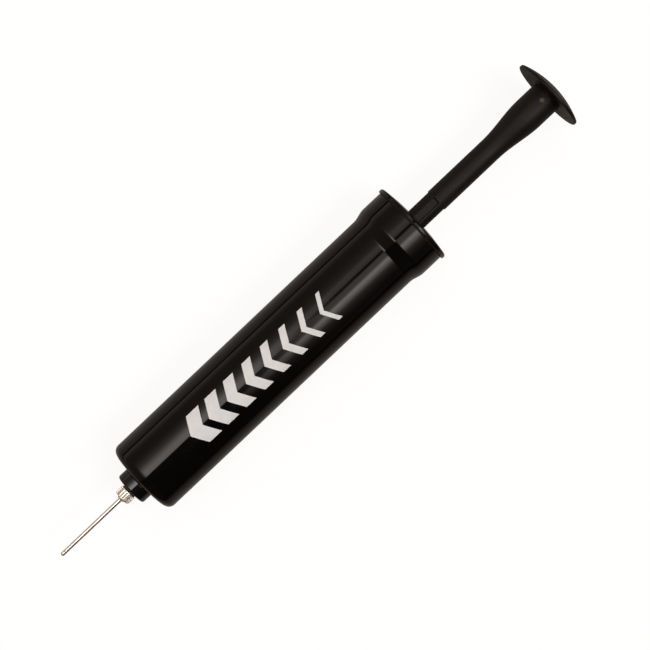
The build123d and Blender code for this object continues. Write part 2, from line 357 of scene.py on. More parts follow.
def lathe_grid(tree, outline, facets):
    """The grid of the outline's points, turned about X."""
    size = add_node(tree, "GeometryNodeAttributeDomainSize", component="MESH")
    tree.links.new(outline, size.inputs["Geometry"])
    columns = maths(tree, "ADD", facets, 1.0)
    grid = add_node(tree, "GeometryNodeMeshGrid")
    tree.links.new(size.outputs["Point Count"], grid.inputs["Vertices X"])
    tree.links.new(columns, grid.inputs["Vertices Y"])
    index = add_node(tree, "GeometryNodeInputIndex").outputs["Index"]
    row = maths(tree, "FLOOR", maths(tree, "DIVIDE", maths(tree, "ADD", index, 0.5), columns))
    column = maths(tree, "SUBTRACT", index, maths(tree, "MULTIPLY", row, columns))
    angle = maths(tree, "MULTIPLY", maths(tree, "DIVIDE", column, facets), 2 * pi)
    sample = add_node(tree, "GeometryNodeSampleIndex", data_type="FLOAT_VECTOR", domain="POINT")
    place = add_node(tree, "GeometryNodeInputPosition").outputs["Position"]
    tree.links.new(outline, sample.inputs["Geometry"])
    tree.links.new(place, sample.inputs["Value"])
    tree.links.new(row, sample.inputs["Index"])
    turned = add_node(tree, "ShaderNodeVectorRotate", rotation_type="X_AXIS")
    tree.links.new(sample.outputs["Value"], turned.inputs["Vector"])
    tree.links.new(angle, turned.inputs["Angle"])
    moved = add_node(tree, "GeometryNodeSetPosition")
    tree.links.new(grid.outputs["Mesh"], moved.inputs["Geometry"])
    tree.links.new(turned.outputs["Vector"], moved.inputs["Position"])
    merged = add_node(tree, "GeometryNodeMergeByDistance")
    merged.inputs["Distance"].default_value = SEAM
    tree.links.new(moved.outputs["Geometry"], merged.inputs["Geometry"])
    return merged.outputs["Geometry"]


def lifted(tree, geometry, height):
    """The geometry, moved up to the pump's axis."""
    up = add_node(tree, "ShaderNodeCombineXYZ")
    tree.links.new(height, up.inputs["Z"])
    move = add_node(tree, "GeometryNodeTransform")
    tree.links.new(geometry, move.inputs["Geometry"])
    tree.links.new(up.outputs["Vector"], move.inputs["Translation"])
    return move.outputs["Geometry"]


def round_the_axis(tree, item, count):
    """Copies of the item, turned by even steps about X."""
    points = add_node(tree, "GeometryNodeMeshLine", mode="OFFSET")
    tree.links.new(count, points.inputs["Count"])
    points.inputs["Offset"].default_value = (0, 0, 0)
    index = add_node(tree, "GeometryNodeInputIndex").outputs["Index"]
    turn = add_node(tree, "ShaderNodeCombineXYZ")
    angle = maths(tree, "MULTIPLY", maths(tree, "DIVIDE", index, count), 2 * pi)
    tree.links.new(angle, turn.inputs["X"])
    copies = add_node(tree, "GeometryNodeInstanceOnPoints")
    tree.links.new(points.outputs["Mesh"], copies.inputs["Points"])
    tree.links.new(item, copies.inputs["Instance"])
    tree.links.new(turn.outputs["Vector"], copies.inputs["Rotation"])
    return copies.outputs["Instances"]


LATHE_INPUTS = [
    ("Facets", "NodeSocketInt"),
    ("Axis height", "NodeSocketFloat"),
    ("Finish", "NodeSocketMaterial"),
]
lathe, lathe_in, lathe_out = new_tree("lathe", LATHE_INPUTS)
turned_shape = lathe_grid(lathe, lathe_in.outputs["Geometry"], lathe_in.outputs["Facets"])
turned_shape = lifted(lathe, turned_shape, lathe_in.outputs["Axis height"])
finish_tree(lathe, turned_shape, lathe_in.outputs["Finish"], lathe_out)
print("lathe tree:", len(lathe.nodes), "nodes")

# %% [markdown]
# A tree works on an object through a modifier, whose inputs are set by each socket's identifier.
# The result is then read back as a plain mesh and the modifier is taken away, because an exported
# model has no modifiers. Faces are turned outwards, and edges sharper than 35 degrees stay crisp
# while the rest is shaded smooth, which is how a moulded part looks.

# %% Turn a tree's result into a plain piece
CRISP = radians(35)
WELD = 1e-7


def tidy_mesh(mesh):
    """Welds the points, turns the faces outwards and smooths all but the real edges."""
    shell = bmesh.new()
    shell.from_mesh(mesh)
    bmesh.ops.remove_doubles(shell, verts=shell.verts, dist=WELD)
    bmesh.ops.recalc_face_normals(shell, faces=shell.faces)
    shell.to_mesh(mesh)
    shell.free()
    mesh.shade_smooth()
    mesh.set_sharp_from_angle(angle=CRISP)


def made_by(tree, name, start_mesh, **inputs):
    """A piece that the tree makes from start_mesh. Inputs are named with _ for a space."""
    piece = bpy.data.objects.new(name, start_mesh)
    bpy.context.scene.collection.objects.link(piece)
    modifier = piece.modifiers.new(tree.name, "NODES")
    modifier.node_group = tree
    sockets = {item.name: item for item in tree.interface.items_tree if item.in_out == "INPUT"}
    for label, value in inputs.items():
        modifier[sockets[label.replace("_", " ")].identifier] = value
    seen = piece.evaluated_get(bpy.context.evaluated_depsgraph_get())
    mesh = bpy.data.meshes.new_from_object(seen)
    piece.modifiers.clear()
    piece.data = mesh
    mesh.name = name
    tidy_mesh(mesh)
    print(f"{name}: {len(mesh.polygons)} faces")
    return piece


def outline_mesh(points):
    """The outline as loose points in order, in metres, above the X axis."""
    mesh = bpy.data.meshes.new("outline")
    mesh.from_pydata([(ZERO_X + p[0] * MM, 0, p[1] * MM) for p in points], [], [])
    return mesh


def turned_piece(name, points, material, facets=128):
    return made_by(
        lathe, name, outline_mesh(points), Facets=facets, Axis_height=AXIS_Z, Finish=material
    )


def belongs(piece, body, slot, *nodes):
    """The piece moves with a body and stands for CAD parts, which it hides. slot is not used."""
    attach(piece, body)
    if nodes:
        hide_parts(*nodes)


# %% [markdown]
# ## The barrel
# The barrel is one moulding: a threaded neck for the nozzle nut, a rounded shoulder, a long
# straight tube, and a collar that swells a little to take the cap. The swell is a smooth step,
# flat at both ends. The bore, the valve chamber and the port are in the same outline, so the
# mesh is a true wall and not a filled block.

# %% Turn the barrel
BARREL_R = 18.0
COLLAR_R = 19.3
BELL_START = 145.5
BELL_END = 152.5
BELL_STEPS = 14
GROOVE_STEPS = 6


def smooth_step(start, end, low, high, steps):
    """Points that rise from low to high along a curve that is flat at both ends."""
    shares = [i / steps for i in range(steps + 1)]
    return [
        (start + (end - start) * s, low + (high - low) * (3 * s * s - 2 * s**3)) for s in shares
    ]


def half_groove(x, radius, depth):
    """A small round groove or bead in a wall, from high x to low x."""
    angles = [pi * i / GROOVE_STEPS for i in range(GROOVE_STEPS + 1)]
    return [(x + abs(depth) * cos(a), radius + depth * sin(a)) for a in angles]


barrel_outline = rounded(
    [
        (-NECK_LENGTH, 4.0),
        (-NECK_LENGTH, 6.0, 0.4),
        (-0.9, 6.0),
        (-0.9, 7.0, 0.15),
        (0, 7.0),
        (0, BARREL_R, 3.2),
        (BELL_START - 1.0, BARREL_R),
        *smooth_step(BELL_START, BELL_END, BARREL_R, COLLAR_R, BELL_STEPS),
        (BELL_END + 1.0, COLLAR_R),
        (162.4, COLLAR_R, 0.25),
        (162.4, 17.5),
        *half_groove(157.5, 17.5, 0.5),
        (153.0, 17.5),
        (151.6, 16.2),
        (3.0, 16.2, 0.8),
        (3.0, 1.5),
        (1.3, 1.5),
        (1.3, 2.2),
        (1.6, 2.2),
        (1.6, 4.0),
    ],
    closed=True,
)
barrel = turned_piece("barrel_shell", barrel_outline, gloss_black, facets=192)
belongs(barrel, "barrel", "barrel_plastic", "barrel")

# %% [markdown]
# ## The top cap
# The cap is a shallow dome with a rounded rim. Below it a skirt snaps into the barrel, and a long
# sleeve holds the bush that guides the rod. Six webs brace the sleeve against the skirt. They
# repeat round the axis, so a tree makes one as a box and turns six copies of it about X.

# %% Turn the cap and set its webs
RIM_R = 20.3
CAP_HOLE_R = 5.6
cap_outline = rounded(
    [
        (165.9, CAP_HOLE_R),
        (165.9, 6.2, 0.35),
        (165.705, 12.18, 30.0),
        (164.6, RIM_R, 0.9),
        (162.8, RIM_R, 0.3),
        (162.8, 17.4),
        *half_groove(157.5, 17.4, 0.4),
        (153.1, 17.4, 0.3),
        (153.1, 15.6),
        (162.8, 15.6, 0.4),
        (162.8, 8.8, 0.4),
        (148.5, 8.8, 0.3),
        (148.5, 7.0),
        (161.8, 7.0),
        (161.8, CAP_HOLE_R),
    ],
    closed=True,
)

webbed, webbed_in, webbed_out = new_tree(
    "lathe_with_webs",
    [
        *LATHE_INPUTS,
        ("Webs", "NodeSocketInt"),
        ("Web size", "NodeSocketVector"),
        ("Web centre", "NodeSocketVector"),
    ],
)
web_given = webbed_in.outputs
web_box = add_node(webbed, "GeometryNodeMeshCube")
webbed.links.new(web_given["Web size"], web_box.inputs["Size"])
web_at = add_node(webbed, "GeometryNodeTransform")
webbed.links.new(web_box.outputs["Mesh"], web_at.inputs["Geometry"])
webbed.links.new(web_given["Web centre"], web_at.inputs["Translation"])
cap_parts = add_node(webbed, "GeometryNodeJoinGeometry")
for part in (
    lathe_grid(webbed, web_given["Geometry"], web_given["Facets"]),
    round_the_axis(webbed, web_at.outputs["Geometry"], web_given["Webs"]),
):
    webbed.links.new(part, cap_parts.inputs["Geometry"])
cap_shape = lifted(webbed, cap_parts.outputs["Geometry"], web_given["Axis height"])
finish_tree(webbed, cap_shape, web_given["Finish"], webbed_out)

WEB_ENDS = (154.5, 163.0)
WEB_REACH = (8.3, 16.0)
WEB_THICK = 1.6
cap = made_by(
    webbed,
    "top_cap_shell",
    outline_mesh(cap_outline),
    Facets=160,
    Axis_height=AXIS_Z,
    Finish=gloss_black,
    Webs=6,
    Web_size=Vector((WEB_ENDS[1] - WEB_ENDS[0], WEB_THICK, WEB_REACH[1] - WEB_REACH[0])) * MM,
    Web_centre=Vector((ZERO_X + sum(WEB_ENDS) / 2 * MM, 0, sum(WEB_REACH) / 2 * MM)),
)
belongs(cap, "barrel", "cap_plastic", "top_cap")

# %% [markdown]
# ## The nozzle nut and the needle's seal
# The nut is a smooth black cap screwed on the barrel's neck. It holds the brass socket that the
# needle screws into. The seal is a rubber washer that the needle's hub squeezes against it.

# %% Turn the nut and the seal
nut_outline = rounded(
    [
        (-6.3, 2.7, 0.2),
        (-6.3, 7.8, 0.9),
        (-0.9, 7.8, 0.4),
        (-0.9, 6.0),
        (-5.5, 6.0),
        (-5.5, 2.7),
    ],
    closed=True,
)
nut = turned_piece("nozzle_nut_shell", nut_outline, nut_black)
belongs(nut, "barrel", "nut_plastic", "nozzle_nut")

seal_outline = rounded(
    [(-7.3, 2.55, 0.2), (-7.3, 3.3, 0.3), (-6.3, 3.3, 0.3), (-6.3, 2.55, 0.2)], closed=True
)
seal = turned_piece("needle_seal_washer", seal_outline, black_rubber, facets=64)
belongs(seal, "needle_seal", "seal_rubber", "needle_seal")

# %% [markdown]
# ## The palm disc
# The disc is a low dome, thick enough at its rim to be kind to a hand, with a stem that the
# cross-pin holds in the rod. A dome is part of a sphere, so its points come from that sphere.

# %% Turn the palm disc
DISC_R = 17.5
DISC_UNDER = 245.2
DISC_EDGE = 1.3
DOME = 3.6
DOME_STEPS = 22
sphere_r = (DISC_R**2 + DOME**2) / (2 * DOME)
dome_top = DISC_UNDER + DISC_EDGE + DOME


def dome_points(first_r, steps):
    radii = [first_r * (1 - i / steps) for i in range(steps + 1)]
    return [(dome_top - sphere_r + sqrt(sphere_r**2 - r * r), r) for r in radii]


disc_outline = rounded(
    [
        (229.4, 0),
        (229.4, 4.2, 0.6),
        (244.4, 4.2),
        (244.4, 7.5),
        (DISC_UNDER, 7.5),
        (DISC_UNDER, DISC_R, 0.45),
        (DISC_UNDER + DISC_EDGE, DISC_R, 0.45),
        *dome_points(DISC_R - 0.7, DOME_STEPS),
    ]
)
disc = turned_piece("palm_disc", disc_outline, satin_black, facets=160)
belongs(disc, "plunger", "handle_plastic", "handle_disc")

# %% [markdown]
# ## The rod
# The rod is round at its ends and has four long flutes in its middle, which save plastic and keep
# the walls even. A lathe can't cut flutes, so this piece is lofted: a ring of points for each
# station along the rod, joined to the next. Round and fluted rings have the same number of points
# in the same order, so that a round ring can turn into a fluted one.

# %% Loft the rod from rings
ROD_R = 5.4
NECK_R = 7.5
FLUTES = 4
FLUTE_HALF = 1.75
FLUTE_FLOOR = 3.9
FLUTE_ROUND = 0.3
ARC_POINTS = 14


def flute_quarter():
    """One quarter of the fluted section, from the middle of a flute to the middle of the next."""
    lip_y = FLUTE_HALF
    lip_z = sqrt(ROD_R**2 - lip_y**2)
    floor = [(0, FLUTE_FLOOR), (0.6, FLUTE_FLOOR), (1.2, FLUTE_FLOOR)]
    corner = arc_at((0, FLUTE_FLOOR), (lip_y, FLUTE_FLOOR), (lip_y, lip_z), FLUTE_ROUND, 3)
    lip_out = (lip_y + 1.0, sqrt(ROD_R**2 - (lip_y + 1.0) ** 2))
    lip = arc_at((lip_y, FLUTE_FLOOR), (lip_y, lip_z), lip_out, FLUTE_ROUND / 2, 3)
    first = atan2(lip[-1][0], lip[-1][1])
    last = pi / 2 - first
    turns = [first + (last - first) * i / ARC_POINTS for i in range(1, ARC_POINTS)]
    land = [(ROD_R * sin(t), ROD_R * cos(t)) for t in turns]
    half = floor + [tuple(p) for p in corner + lip]
    mirrored = [(z, y) for y, z in reversed(half)]
    return half + land + mirrored[:-1]


def fluted_ring():
    ring = []
    for quarter in range(FLUTES):
        turn = quarter * pi / 2
        ring += [
            (y * cos(turn) + z * sin(turn), z * cos(turn) - y * sin(turn))
            for y, z in flute_quarter()
        ]
    return ring


FLUTED = fluted_ring()


def rod_ring(x, radius, fluted):
    """One ring at x. fluted runs from 0, a plain circle, to 1, the full flutes."""
    points = []
    for y, z in FLUTED:
        full = hypot(y, z)
        plain = radius / full
        share = plain + (1 - plain) * fluted
        points.append((ZERO_X + x * MM, y * share * MM, AXIS_Z + z * share * MM))
    return points


def lofted(name, rings, material):
    """A closed piece through rings of points, with a flat cap at each end."""
    shell = bmesh.new()
    rows = [[shell.verts.new(p) for p in ring] for ring in rings]
    for low, high in zip(rows, rows[1:]):
        for i in range(len(low)):
            j = (i + 1) % len(low)
            shell.faces.new((low[i], low[j], high[j], high[i]))
    shell.faces.new(rows[0])
    shell.faces.new(rows[-1])
    mesh = bpy.data.meshes.new(name)
    shell.to_mesh(mesh)
    shell.free()
    mesh.materials.append(material)
    tidy_mesh(mesh)
    piece = bpy.data.objects.new(name, mesh)
    bpy.context.scene.collection.objects.link(piece)
    print(f"{name}: {len(mesh.polygons)} faces")
    return piece


# %% [markdown]
# The rod's flare, where it swells into the neck under the disc, is the same smooth step as the
# barrel's collar, only longer. A flute ends in a steep little ramp, as a mould cuts it.

# %% The rod's stations, from the piston's end to the neck
FLUTE_ENDS = (74.0, 178.4)
RAMP = 0.35
FLARE = (211.5, 234.0)
rod_stations = [
    (68.5, 1.75, 0),
    (55.0, 1.75, 0),
    (55.0, 3.45, 0),
    (66.05, 3.45, 0),
    (66.05, ROD_R - 0.5, 0),
    (66.2, ROD_R - 0.15, 0),
    (66.55, ROD_R, 0),
    (FLUTE_ENDS[0] - 0.4, ROD_R, 0),
    (FLUTE_ENDS[0], ROD_R, 0),
    (FLUTE_ENDS[0] + RAMP, ROD_R, 1),
    (FLUTE_ENDS[0] + 2 * RAMP, ROD_R, 1),
    (FLUTE_ENDS[1] - 2 * RAMP, ROD_R, 1),
    (FLUTE_ENDS[1] - RAMP, ROD_R, 1),
    (FLUTE_ENDS[1], ROD_R, 0),
    (FLUTE_ENDS[1] + 0.4, ROD_R, 0),
    (FLARE[0] - 1.0, ROD_R, 0),
    *[(x, r, 0) for x, r in smooth_step(*FLARE, ROD_R, NECK_R, 24)],
    (FLARE[1] + 1.0, NECK_R, 0),
    (244.1, NECK_R, 0),
    (244.25, NECK_R, 0),
    (244.4, NECK_R - 0.15, 0),
    (244.4, 4.2, 0),
    (228.4, 4.2, 0),
]
rod = lofted("fluted_rod", [rod_ring(*station) for station in rod_stations], satin_black)
belongs(rod, "plunger", "rod_plastic", "plunger_rod")

# %% [markdown]
# ## The needle's hub
# The hub has a collar with straight knurling for the fingers, and an M5 thread that screws into the
# nozzle. A knurl is one small ridge set round the collar many times, and a thread is one sharp
# profile swept along a spiral, so a tree makes both and joins them to the turned body.

# %% Turn the hub and add its knurl and thread
hub_outline = rounded(
    [
        (-12.6, 0.78),
        (-12.6, 1.5, 0.15),
        (-11.7, 2.3),
        (-11.7, 3.58, 0.35),
        (-7.3, 3.58, 0.25),
        (-7.3, 2.5),
        (-7.1, 2.14),
        (-2.9, 2.14),
        (-2.5, 1.9),
        (-2.5, 0.5),
        (-7.0, 0.5),
        (-7.0, 0.78),
    ],
    closed=True,
)

knurled, knurled_in, knurled_out = new_tree(
    "lathe_with_knurl_and_thread",
    [
        *LATHE_INPUTS,
        ("Ridges", "NodeSocketInt"),
        ("Ridge length", "NodeSocketFloat"),
        ("Collar radius", "NodeSocketFloat"),
        ("Collar middle", "NodeSocketFloat"),
        ("Thread start", "NodeSocketFloat"),
        ("Thread turns", "NodeSocketFloat"),
        ("Thread pitch", "NodeSocketFloat"),
        ("Thread radius", "NodeSocketFloat"),
    ],
)
ALONG_X = (0, pi / 2, 0)
RIDGE_SIDES = 8
RIDGE_R = 0.34
CREST_SIDES = 4
CREST_R = 0.34
SPIRAL_STEPS = 36
knurl_given = knurled_in.outputs
ridge = add_node(knurled, "GeometryNodeMeshCylinder", fill_type="NGON")
ridge.inputs["Vertices"].default_value = RIDGE_SIDES
ridge.inputs["Radius"].default_value = RIDGE_R * MM
knurled.links.new(knurl_given["Ridge length"], ridge.inputs["Depth"])
ridge_lies = add_node(knurled, "GeometryNodeTransform")
knurled.links.new(ridge.outputs["Mesh"], ridge_lies.inputs["Geometry"])
ridge_lies.inputs["Rotation"].default_value = ALONG_X
ridge_at = add_node(knurled, "ShaderNodeCombineXYZ")
knurled.links.new(knurl_given["Collar middle"], ridge_at.inputs["X"])
knurled.links.new(knurl_given["Collar radius"], ridge_at.inputs["Z"])
knurled.links.new(ridge_at.outputs["Vector"], ridge_lies.inputs["Translation"])
ridges = round_the_axis(knurled, ridge_lies.outputs["Geometry"], knurl_given["Ridges"])

spiral = add_node(knurled, "GeometryNodeCurveSpiral")
spiral.inputs["Resolution"].default_value = SPIRAL_STEPS
knurled.links.new(knurl_given["Thread turns"], spiral.inputs["Rotations"])
knurled.links.new(knurl_given["Thread radius"], spiral.inputs["Start Radius"])
knurled.links.new(knurl_given["Thread radius"], spiral.inputs["End Radius"])
thread_length = maths(knurled, "MULTIPLY", knurl_given["Thread turns"], knurl_given["Thread pitch"])
knurled.links.new(thread_length, spiral.inputs["Height"])
crest = add_node(knurled, "GeometryNodeCurvePrimitiveCircle", mode="RADIUS")
crest.inputs["Resolution"].default_value = CREST_SIDES
crest.inputs["Radius"].default_value = CREST_R * MM
swept = add_node(knurled, "GeometryNodeCurveToMesh")
swept.inputs["Fill Caps"].default_value = True
knurled.links.new(spiral.outputs["Curve"], swept.inputs["Curve"])
knurled.links.new(crest.outputs["Curve"], swept.inputs["Profile Curve"])
thread_lies = add_node(knurled, "GeometryNodeTransform")
thread_lies.inputs["Rotation"].default_value = ALONG_X
thread_at = add_node(knurled, "ShaderNodeCombineXYZ")
knurled.links.new(knurl_given["Thread start"], thread_at.inputs["X"])
knurled.links.new(thread_at.outputs["Vector"], thread_lies.inputs["Translation"])
knurled.links.new(swept.outputs["Mesh"], thread_lies.inputs["Geometry"])

hub_parts = add_node(knurled, "GeometryNodeJoinGeometry")
hub_grid = lathe_grid(knurled, knurl_given["Geometry"], knurl_given["Facets"])
for part in (hub_grid, ridges, thread_lies.outputs["Geometry"]):
    knurled.links.new(part, hub_parts.inputs["Geometry"])
hub_shape = lifted(knurled, hub_parts.outputs["Geometry"], knurl_given["Axis height"])
finish_tree(knurled, hub_shape, knurl_given["Finish"], knurled_out)

hub = made_by(
    knurled,
    "needle_hub_knurled",
    outline_mesh(hub_outline),
    Facets=80,
    Axis_height=AXIS_Z,
    Finish=hub_nickel,
    Ridges=26,
    Ridge_length=3.5 * MM,
    Collar_radius=3.45 * MM,
    Collar_middle=ZERO_X - 9.45 * MM,
    Thread_start=ZERO_X - 6.9 * MM,
    Thread_turns=5.0,
    Thread_pitch=0.8 * MM,
    Thread_radius=2.15 * MM,
)
belongs(hub, "needle", "hub_nickel", "needle_hub")

# %% [markdown]
# ## The print on the barrel
# The barrel carries a white pad print. Here it is a plain row of chevrons that grow thinner, a
# design of no maker's. Each bar is a thin box, cut fine across so that it can bend. The tree sets
# the bars along the barrel, makes each one narrower than the last, bends it to a chevron and wraps
# it round the barrel, a few hundredths of a millimetre proud of the plastic.

# %% Print the chevrons
printed, printed_in, printed_out = new_tree(
    "print",
    [
        ("Bars", "NodeSocketInt"),
        ("First bar", "NodeSocketFloat"),
        ("Spacing", "NodeSocketFloat"),
        ("Widest", "NodeSocketFloat"),
        ("Narrowest", "NodeSocketFloat"),
        ("Height", "NodeSocketFloat"),
        ("Middle", "NodeSocketFloat"),
        ("Lean", "NodeSocketFloat"),
        ("Barrel radius", "NodeSocketFloat"),
        ("Ink", "NodeSocketFloat"),
        ("Axis height", "NodeSocketFloat"),
        ("Finish", "NodeSocketMaterial"),
    ],
)
BAR_CUTS = 41
print_given = printed_in.outputs
bar_size = add_node(printed, "ShaderNodeCombineXYZ")
bar_size.inputs["X"].default_value = 1.0
printed.links.new(print_given["Height"], bar_size.inputs["Y"])
printed.links.new(print_given["Ink"], bar_size.inputs["Z"])
bar = add_node(printed, "GeometryNodeMeshCube")
printed.links.new(bar_size.outputs["Vector"], bar.inputs["Size"])
bar.inputs["Vertices Y"].default_value = BAR_CUTS
bar_points = add_node(printed, "GeometryNodeMeshLine", mode="OFFSET")
printed.links.new(print_given["Bars"], bar_points.inputs["Count"])
bar_step = add_node(printed, "ShaderNodeCombineXYZ")
printed.links.new(print_given["Spacing"], bar_step.inputs["X"])
bar_start = add_node(printed, "ShaderNodeCombineXYZ")
printed.links.new(print_given["First bar"], bar_start.inputs["X"])
printed.links.new(bar_step.outputs["Vector"], bar_points.inputs["Offset"])
printed.links.new(bar_start.outputs["Vector"], bar_points.inputs["Start Location"])
bar_index = add_node(printed, "GeometryNodeInputIndex").outputs["Index"]
bar_share = maths(
    printed, "DIVIDE", bar_index, maths(printed, "SUBTRACT", print_given["Bars"], 1.0)
)
bar_width = add_node(printed, "ShaderNodeMapRange")
printed.links.new(bar_share, bar_width.inputs["Value"])
printed.links.new(print_given["Widest"], bar_width.inputs["To Min"])
printed.links.new(print_given["Narrowest"], bar_width.inputs["To Max"])
bar_scale = add_node(printed, "ShaderNodeCombineXYZ")
printed.links.new(bar_width.outputs["Result"], bar_scale.inputs["X"])
bar_scale.inputs["Y"].default_value = 1.0
bar_scale.inputs["Z"].default_value = 1.0
bars = add_node(printed, "GeometryNodeInstanceOnPoints")
printed.links.new(bar_points.outputs["Mesh"], bars.inputs["Points"])
printed.links.new(bar.outputs["Mesh"], bars.inputs["Instance"])
printed.links.new(bar_scale.outputs["Vector"], bars.inputs["Scale"])
flat_bars = wire(
    printed, add_node(printed, "GeometryNodeRealizeInstances"), i0=bars.outputs["Instances"]
)
flat = add_node(printed, "ShaderNodeSeparateXYZ")
flat_place = add_node(printed, "GeometryNodeInputPosition")
printed.links.new(flat_place.outputs["Position"], flat.inputs["Vector"])
leaned = maths(
    printed,
    "ADD",
    flat.outputs["X"],
    maths(printed, "MULTIPLY", maths(printed, "ABSOLUTE", flat.outputs["Y"]), print_given["Lean"]),
)
across = maths(printed, "ADD", flat.outputs["Y"], print_given["Middle"])
wrap_angle = maths(printed, "DIVIDE", across, print_given["Barrel radius"])
wrap_radius = maths(printed, "ADD", print_given["Barrel radius"], flat.outputs["Z"])
wrapped = add_node(printed, "ShaderNodeCombineXYZ")
printed.links.new(leaned, wrapped.inputs["X"])
printed.links.new(
    maths(printed, "MULTIPLY", wrap_radius, maths(printed, "SINE", wrap_angle)),
    wrapped.inputs["Y"],
)
printed.links.new(
    maths(printed, "MULTIPLY", wrap_radius, maths(printed, "COSINE", wrap_angle)),
    wrapped.inputs["Z"],
)
on_barrel = add_node(printed, "GeometryNodeSetPosition")
printed.links.new(flat_bars, on_barrel.inputs["Geometry"])
printed.links.new(wrapped.outputs["Vector"], on_barrel.inputs["Position"])
print_shape = lifted(printed, on_barrel.outputs["Geometry"], print_given["Axis height"])
finish_tree(printed, print_shape, print_given["Finish"], printed_out)

white_ink = finish(
    "white_pad_print",
    colours=[(0.84, 0.90, 0.95), (0.90, 0.95, 0.99)],
    gloss=(0.30, 0.42),
    cloud_mm=3.0,
    grain_mm=0.25,
    grain_depth=0.002,
    Specular_IOR_Level=0.3,
)
chevrons = made_by(
    printed,
    "barrel_print",
    bpy.data.meshes.new("print_start"),
    Bars=8,
    First_bar=ZERO_X + 34.0 * MM,
    Spacing=10.6 * MM,
    Widest=7.2 * MM,
    Narrowest=2.2 * MM,
    Height=15.6 * MM,
    Middle=-1.2 * MM,
    Lean=0.55,
    Barrel_radius=(BARREL_R + 0.02) * MM,
    Ink=0.03 * MM,
    Axis_height=AXIS_Z,
    Finish=white_ink,
)
belongs(chevrons, "barrel", "barrel_plastic")

# %% [markdown]
# ## Finishes for the parts that keep their CAD mesh
# The needle's tube, the cross-pin and everything inside are right as they are, so they only get
# their finishes, through the material slots of their own objects.

# %% Paint the CAD parts that stay
KEPT = {
    "needle_tube": bright_nickel,
    "handle_pin": oiled_steel,
    "cap_gasket": black_rubber,
    "rod_guide_bush": natural_acetal,
    "piston_head": grey_nylon,
    "piston_ring": black_rubber,
    "piston_bumper": black_rubber,
    "piston_washer": zinc_steel,
    "piston_screw": zinc_steel,
    "check_valve_disc": black_rubber,
    "check_valve_spring": spring_wire,
    "needle_socket": brass,
    "socket_seal": black_rubber,
}
for node, material in KEPT.items():
    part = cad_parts[node]
    if not part.material_slots:
        part.data.materials.append(material)
    for place in part.material_slots:
        place.material = material
print("painted", len(KEPT), "CAD parts")

# %% [markdown]
# ## The studio
# Black gloss shows only what surrounds it, so the light has to be drawn as carefully as the pump.
# A real studio hangs long soft boxes over the set and leaves the rest of the room dim. Here the
# world does both: its brightness depends on the direction, measured across the pump for the soft
# boxes' edges, and along it for the place where one box ends and the next begins. Past both ends
# of the pump the room stays dim, which ends the barrel's highlights cleanly at its shoulder and
# draws the dark break at its collar.

# %% Draw the soft boxes round the pump
WARM_DIM = (1.0, 0.80, 0.68)
WARM_BRIGHT = (1.0, 0.94, 0.88)
BRIGHTEST = 7.0
TINT_FULL = 3.0
NEEDLE_END_LIGHT = [
    (-180, 0.10),
    (-90, 0.05),
    (-30, 0.08),
    (-5.0, 0.14),
    (-4.0, 4.9),
    (8, 4.9),
    (17, 3.1),
    (25, 1.5),
    (34, 0.84),
    (43, 0.5),
    (52, 0.36),
    (72, 0.36),
    (92, 1.0),
    (180, 0.10),
]
CAP_END_LIGHT = [
    (-180, 0.10),
    (-70, 0.14),
    (-62, 0.26),
    (-52, 0.48),
    (-43, 1.1),
    (-34, 3.9),
    (-25, 6.8),
    (-17, 2.0),
    (-6, 1.8),
    (-2, 0.15),
    (2, 0.15),
    (6, 1.4),
    (17, 1.7),
    (25, 0.9),
    (34, 0.6),
    (52, 0.36),
    (72, 0.36),
    (92, 1.0),
    (180, 0.10),
]
PAST_THE_ENDS_LIGHT = [
    (-180, 0.10),
    (-52, 0.12),
    (-8, 0.10),
    (0, 0.30),
    (17, 0.32),
    (52, 0.36),
    (72, 0.36),
    (92, 1.0),
    (180, 0.10),
]


def light_ramp(tree, angle, stops):
    """The light's colour by the angle across the pump."""
    share = add_node(tree, "ShaderNodeMapRange")
    share.inputs["From Min"].default_value = -pi
    share.inputs["From Max"].default_value = pi
    tree.links.new(angle, share.inputs["Value"])
    ramp = add_node(tree, "ShaderNodeValToRGB")
    tree.links.new(share.outputs["Result"], ramp.inputs["Fac"])
    elements = ramp.color_ramp.elements
    elements.remove(elements[-1])
    for i, (degrees, level) in enumerate(stops):
        place = (degrees + 180) / 360
        element = elements.new(place) if i else elements[0]
        element.position = place
        tint = min(1.0, level / TINT_FULL)
        colour = [level / BRIGHTEST * (d + (b - d) * tint) for d, b in zip(WARM_DIM, WARM_BRIGHT)]
        element.color = (*colour, 1)
    return ramp.outputs["Color"]


world = bpy.data.worlds.new("studio")
bpy.context.scene.world = world
world.use_nodes = True
room = world.node_tree
direction = add_node(room, "ShaderNodeTexCoord").outputs["Generated"]
parts = add_node(room, "ShaderNodeSeparateXYZ")
room.links.new(direction, parts.inputs["Vector"])
across_angle = maths(room, "ARCTAN2", parts.outputs["Y"], parts.outputs["Z"])
squares = maths(
    room,
    "ADD",
    maths(room, "MULTIPLY", parts.outputs["Y"], parts.outputs["Y"]),
    maths(room, "MULTIPLY", parts.outputs["Z"], parts.outputs["Z"]),
)
along_angle = maths(room, "ARCTAN2", parts.outputs["X"], maths(room, "SQRT", squares))


NEEDLE_END_FADE = (-12, -8)
BOX_CHANGE = (-3.5, 1.0)
CAP_END_FADE = (26, 42)


def fade(start, end):
    """A number that runs from 0 to 1 between two angles along the pump, in degrees."""
    share = add_node(room, "ShaderNodeMapRange", interpolation_type="SMOOTHSTEP")
    share.inputs["From Min"].default_value = radians(start)
    share.inputs["From Max"].default_value = radians(end)
    room.links.new(along_angle, share.inputs["Value"])
    return share.outputs["Result"]


